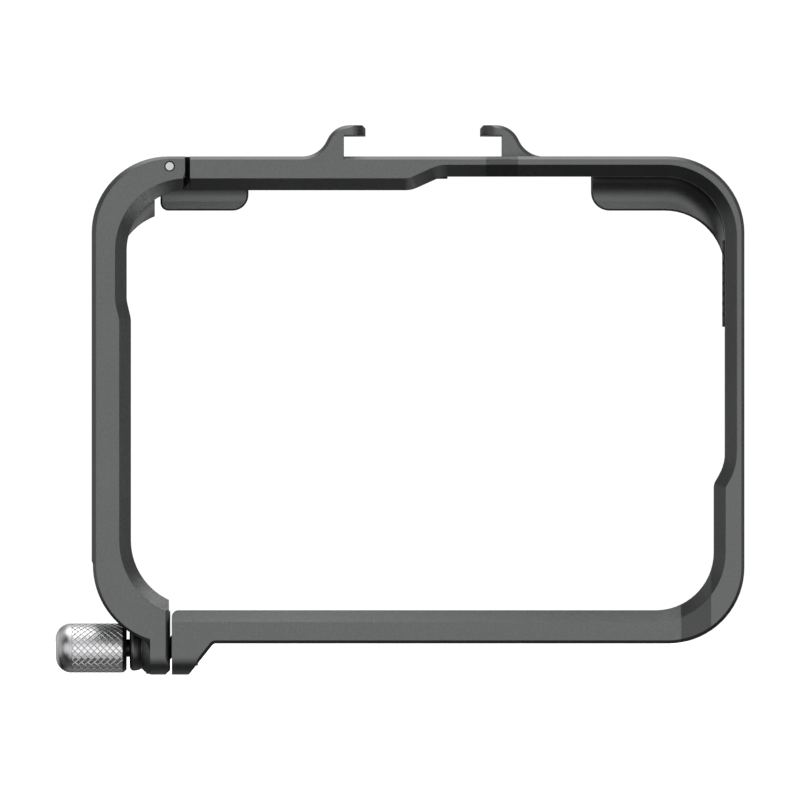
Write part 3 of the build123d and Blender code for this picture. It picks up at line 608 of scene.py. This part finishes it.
def threaded_sleeve(name, outer_r, sides, bore_r, depth, pitch, steps, x_low, x_high, centre):
    """Sleeve along X with bevelled rims and a thread cut into its bore, to a depth past bore_r."""
    made = add_rod(name, outer_r, x_low, x_high, centre, sides)
    pick("edges", runs_round)
    bpy.ops.mesh.bevel(offset=INSERT_EDGE, segments=2)
    end_edit()
    bore = threaded_rod(name + "_bore", bore_r + depth, bore_r, pitch, x_low - BORE_PAST,
                        x_high + BORE_PAST, centre, steps)
    boolean(made, bore, "DIFFERENCE")
    bpy.ops.object.shade_smooth_by_angle(angle=SMOOTH_ANGLE)
    made.data.materials.clear()
    return made


insert_low, insert_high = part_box("lug_thread_insert")
lug_insert = threaded_sleeve(
    "lug_insert", (insert_high.z - insert_low.z) / 2, LUG_SIDES, LUG_BORE_R, LUG_THREAD_DEPTH,
    M3_PITCH, M3_STEPS, insert_low.x, insert_high.x, knob_axis)
lug_insert.data.materials.append(turned_metal(
    "lug_insert_steel", STEEL, STEEL_DARK, knob_axis, ring=0.08 * MM, roughness=0.30,
    spread=0.12, depth=0.002 * MM))
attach(lug_insert, "cage_frame")
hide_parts("lug_thread_insert")

tripod_low, tripod_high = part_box("tripod_thread_insert")
origin = Vector((0, 0, 0))
tripod_insert = threaded_sleeve(
    "tripod_insert", (tripod_high.x - tripod_low.x) / 2, TRIPOD_SIDES, TRIPOD_BORE_R,
    TRIPOD_THREAD_DEPTH, TRIPOD_PITCH, TRIPOD_STEPS, 0, tripod_high.z - tripod_low.z, origin)
tripod_insert.rotation_euler = (0, -pi / 2, 0)
bpy.ops.object.transform_apply(location=True, rotation=True, scale=True)
tripod_insert.data.materials.append(turned_metal(
    "tripod_insert_steel", STEEL, STEEL_DARK, origin, ring=0.10 * MM, roughness=0.28,
    spread=0.12, depth=0.002 * MM, turn=(0, pi / 2, 0)))
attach(tripod_insert, "cage_frame")
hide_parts("tripod_thread_insert")


# Silicone liners
# Moulded sheets of black silicone, glued into pockets of the bay. Grooves across their faces
# grip the camera body.

SILICONE = (0.022, 0.022, 0.023)
SILICONE_DARK = (0.012, 0.012, 0.013)
LINER_CORNER_R = 1.0 * MM
GROOVE_PITCH = 1.2 * MM
GROOVE_WIDTH = 0.4 * MM
GROOVE_DEPTH = 0.14 * MM
LINER_MARGIN = 0.9 * MM
LINER_ANGLE = 0.5
SILICONE_GLOSS = 0.2


def add_block(name, node_name):
    """Starts a piece as a block that fills a CAD node's box and opens it for editing."""
    low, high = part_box(node_name)
    bpy.ops.object.select_all(action="DESELECT")
    bpy.ops.mesh.primitive_cube_add(size=1, location=(low + high) / 2)
    bpy.context.object.scale = high - low
    return begin(name), low, high


def round_corners(axis, radius, segments):
    """Rounds the four edges of a block that run along an axis."""
    pick("edges", lambda e: all(
        abs(e.verts[0].co[k] - e.verts[1].co[k]) < TINY for k in range(3) if k != axis))
    bpy.ops.mesh.bevel(offset=radius, segments=segments, profile=0.5)


def liner(name, node_name, axis, side, along):
    """Grooved sheet. It faces side (-1 or 1) along axis; along is the axis across the grooves."""
    made, low, high = add_block(name, node_name)
    round_corners(axis, LINER_CORNER_R, segments=5)
    surface = high[axis] if side > 0 else low[axis]
    pick("faces", lambda f: abs(f.calc_center_median()[axis] - surface) < TINY)
    bpy.ops.mesh.inset(thickness=LINER_MARGIN)
    across = 3 - axis - along
    count = int((high[along] - low[along] - 2 * LINER_MARGIN) / GROOVE_PITCH)
    first = (low[along] + high[along] - (count - 1) * GROOVE_PITCH) / 2
    centres = [first + GROOVE_PITCH * k for k in range(count)]
    for centre in centres:
        cut_across(along, (centre - GROOVE_WIDTH / 2, centre + GROOVE_WIDTH / 2))
    inner = (low[across] + LINER_MARGIN, high[across] - LINER_MARGIN)

    def in_groove(face):
        middle = face.calc_center_median()
        near = min(abs(middle[along] - c) for c in centres)
        return (abs(middle[axis] - surface) < TINY and near < TINY
                and inner[0] < middle[across] < inner[1] and len(face.verts) == 4)

    pick("faces", in_groove)
    bpy.ops.mesh.inset(thickness=0.0, depth=-GROOVE_DEPTH, use_individual=False)
    end_edit(LINER_ANGLE)
    return made


silicone = moulded("black_silicone", SILICONE, SILICONE_DARK, grain=0.12 * MM, roughness=0.62,
                   spread=0.14, depth=0.006 * MM, gloss=SILICONE_GLOSS)
for name, node_name, body, axis, side, along in (
    ("right_wall_liner", "right_wall_pad", "cage_frame", 0, -1, 2),
    ("arm_liner", "arm_pad", "swing_arm", 0, 1, 2),
    ("top_liner_front", "top_pad_front", "cage_frame", 2, -1, 0),
    ("top_liner_rear", "top_pad_rear", "cage_frame", 2, -1, 0),
    ("floor_liner_front", "floor_pad_front", "cage_frame", 2, 1, 0),
    ("floor_liner_rear", "floor_pad_rear", "cage_frame", 2, 1, 0),
):
    piece = liner(name, node_name, axis, side, along)
    piece.data.materials.append(silicone)
    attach(piece, body)
    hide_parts(node_name)


# Front strips
# Narrow silicone strips behind the rim, glued in shallow grooves, for the camera's front to
# rest on. Their free edges are rounded.

STRIP_CORNER_R = 0.4 * MM
STRIP_EDGE_R = 0.15 * MM

for name, node_name, body in (
    ("rim_strip_top", "front_strip_top", "cage_frame"),
    ("rim_strip_right", "front_strip_right", "cage_frame"),
    ("rim_strip_arm", "front_strip_arm", "swing_arm"),
):
    piece, low, high = add_block(name, node_name)
    round_corners(1, STRIP_CORNER_R, segments=4)
    pick("edges", lambda e: all(abs(v.co.y - high.y) < TINY for v in e.verts))
    bpy.ops.mesh.bevel(offset=STRIP_EDGE_R, segments=3, profile=0.5)
    end_edit(SMOOTH_ANGLE)
    piece.data.materials.append(silicone)
    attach(piece, body)
    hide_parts(node_name)


# Floor and studio light
# A pale floor and a white background. Soft lights stand all round the cage, strongest above
# it and weakest below. Two strip lamps inside the window light the arm's corners.

FLOOR_SIZE = 1.2
FLOOR_GLOW = 0.94
FLOOR_COLOUR = (0.8, 0.8, 0.8, 1)
FLOOR_GAP = 0.02 * MM
BACKDROP_GLOW = 1.05
WHITE = (1, 1, 1, 1)

bpy.ops.object.select_all(action="DESELECT")
bpy.ops.mesh.primitive_plane_add(size=FLOOR_SIZE, location=(0, 0, cad_box[0].z - FLOOR_GAP))
floor = bpy.context.object
floor.name = "floor"

# The camera sees the floor from above only, and all other light passes through it
floor_material, floor_tree, floor_shader = new_material("pale_floor")
floor_tree.nodes.remove(floor_shader)
floor_out = floor_tree.nodes["Material Output"]
floor_light = node(floor_tree, "ShaderNodeLightPath")
floor_side = node(floor_tree, "ShaderNodeNewGeometry")
floor_above = node(floor_tree, "ShaderNodeMath", operation="SUBTRACT", in_0=1.0)
floor_shown = node(floor_tree, "ShaderNodeMath", operation="MULTIPLY")
floor_clear = node(floor_tree, "ShaderNodeBsdfTransparent")
floor_white = node(floor_tree, "ShaderNodeEmission", in_Strength=FLOOR_GLOW)
floor_shade = node(floor_tree, "ShaderNodeBsdfDiffuse", in_Color=FLOOR_COLOUR)
floor_sum = node(floor_tree, "ShaderNodeAddShader")
floor_mix = node(floor_tree, "ShaderNodeMixShader")
wire(floor_tree, (floor_side, "Backfacing"), (floor_above, 1))
wire(floor_tree, (floor_light, "Is Camera Ray"), (floor_shown, 0))
wire(floor_tree, (floor_above, 0), (floor_shown, 1))
wire(floor_tree, (floor_white, 0), (floor_sum, 0))
wire(floor_tree, (floor_shade, 0), (floor_sum, 1))
wire(floor_tree, (floor_shown, 0), (floor_mix, 0))
wire(floor_tree, (floor_clear, 0), (floor_mix, 1))
wire(floor_tree, (floor_sum, 0), (floor_mix, 2))
wire(floor_tree, (floor_mix, 0), (floor_out, "Surface"))
floor.data.materials.append(floor_material)

# Each light: degrees to the right of the front, degrees above level, strength. It reaches out
# to where the cosine of the angle from its middle falls to LIGHT_BEGINS.
LIGHT_BEGINS = 0.85
STUDIO = (
    (0, 0, 0.43),
    (20, 0, 0.74),
    (40, 0, 0.93),
    (65, 0, 1.13),
    (-20, 0, 0.34),
    (-40, 0, 1.16),
    (-90, 0, 0.80),
    (0, 22, 0.47),
    (0, 45, 0.59),
    (0, 67, 1.50),
    (-90, 80, 2.40),
    (180, 65, 0.87),
    (180, 40, 0.60),
    (90, 45, 0.49),
    (-90, 45, 0.57),
    (180, 0, 0.60),
    (135, 0, 0.80),
    (-135, 0, 0.80),
    (0, -26, 0.90),
    (0, -60, 0.04),
    (-125, 30, 0.60),
    (125, 30, 0.60),
    (90, -45, 0.12),
    (-90, -45, 0.12),
    (180, -55, 0.33),
    (0, -90, 0.14),
)

world = bpy.data.worlds.new("studio")
bpy.context.scene.world = world
world.use_nodes = True
sky = world.node_tree
sky.nodes.clear()
direction = node(sky, "ShaderNodeTexCoord")
total = node(sky, "ShaderNodeValue")
total.outputs[0].default_value = 0.0
for turn, height, strength in STUDIO:
    level = cos(radians(height))
    towards = (sin(radians(turn)) * level, -cos(radians(turn)) * level, sin(radians(height)))
    facing = node(sky, "ShaderNodeVectorMath", operation="DOT_PRODUCT", in_1=towards)
    glow = node(sky, "ShaderNodeMapRange", interpolation_type="SMOOTHSTEP",
                in_1=LIGHT_BEGINS, in_2=1.0, in_3=0.0, in_4=strength)
    added = node(sky, "ShaderNodeMath", operation="ADD")
    wire(sky, (direction, "Generated"), (facing, 0))
    wire(sky, (facing, 1), (glow, 0))
    wire(sky, (glow, 0), (added, 0))
    wire(sky, (total, 0), (added, 1))
    total = added
light = node(sky, "ShaderNodeBackground")
wire(sky, (total, 0), (light, "Strength"))
backdrop = node(sky, "ShaderNodeBackground", in_Color=WHITE, in_Strength=BACKDROP_GLOW)
path = node(sky, "ShaderNodeLightPath")
chosen = node(sky, "ShaderNodeMixShader")
sky_out = node(sky, "ShaderNodeOutputWorld")
wire(sky, (path, "Is Camera Ray"), (chosen, 0))
wire(sky, (light, 0), (chosen, 1))
wire(sky, (backdrop, 0), (chosen, 2))
wire(sky, (chosen, 0), (sky_out, "Surface"))

# Each lamp: place and aim in the XZ plane (mm), length (mm), spread in degrees, watts
LAMPS = {
    "hinge_corner_lamp": ((0, 13), (-31, 52), 34, 70, 0.00034),
    "lug_corner_lamp": ((-5, 42), (-31, 6), 26, 60, 0.00029),
}
LAMP_Y = -13.8 * MM
LAMP_WIDTH = 4 * MM

for name, (place, aim, length, spread, watts) in LAMPS.items():
    lamp_data = bpy.data.lights.new(name, "AREA")
    lamp_data.shape = "RECTANGLE"
    lamp_data.size = LAMP_WIDTH
    lamp_data.size_y = length * MM
    lamp_data.energy = watts
    lamp_data.spread = radians(spread)
    lamp = bpy.data.objects.new(name, lamp_data)
    bpy.context.scene.collection.objects.link(lamp)
    lamp.location = (place[0] * MM, LAMP_Y, place[1] * MM)
    heading = Vector((aim[0] - place[0], 0, aim[1] - place[1]))
    lamp.rotation_euler = heading.to_track_quat("-Z", "Y").to_euler()
    lamp.visible_camera = False

bpy.context.scene.view_settings.view_transform = "Standard"
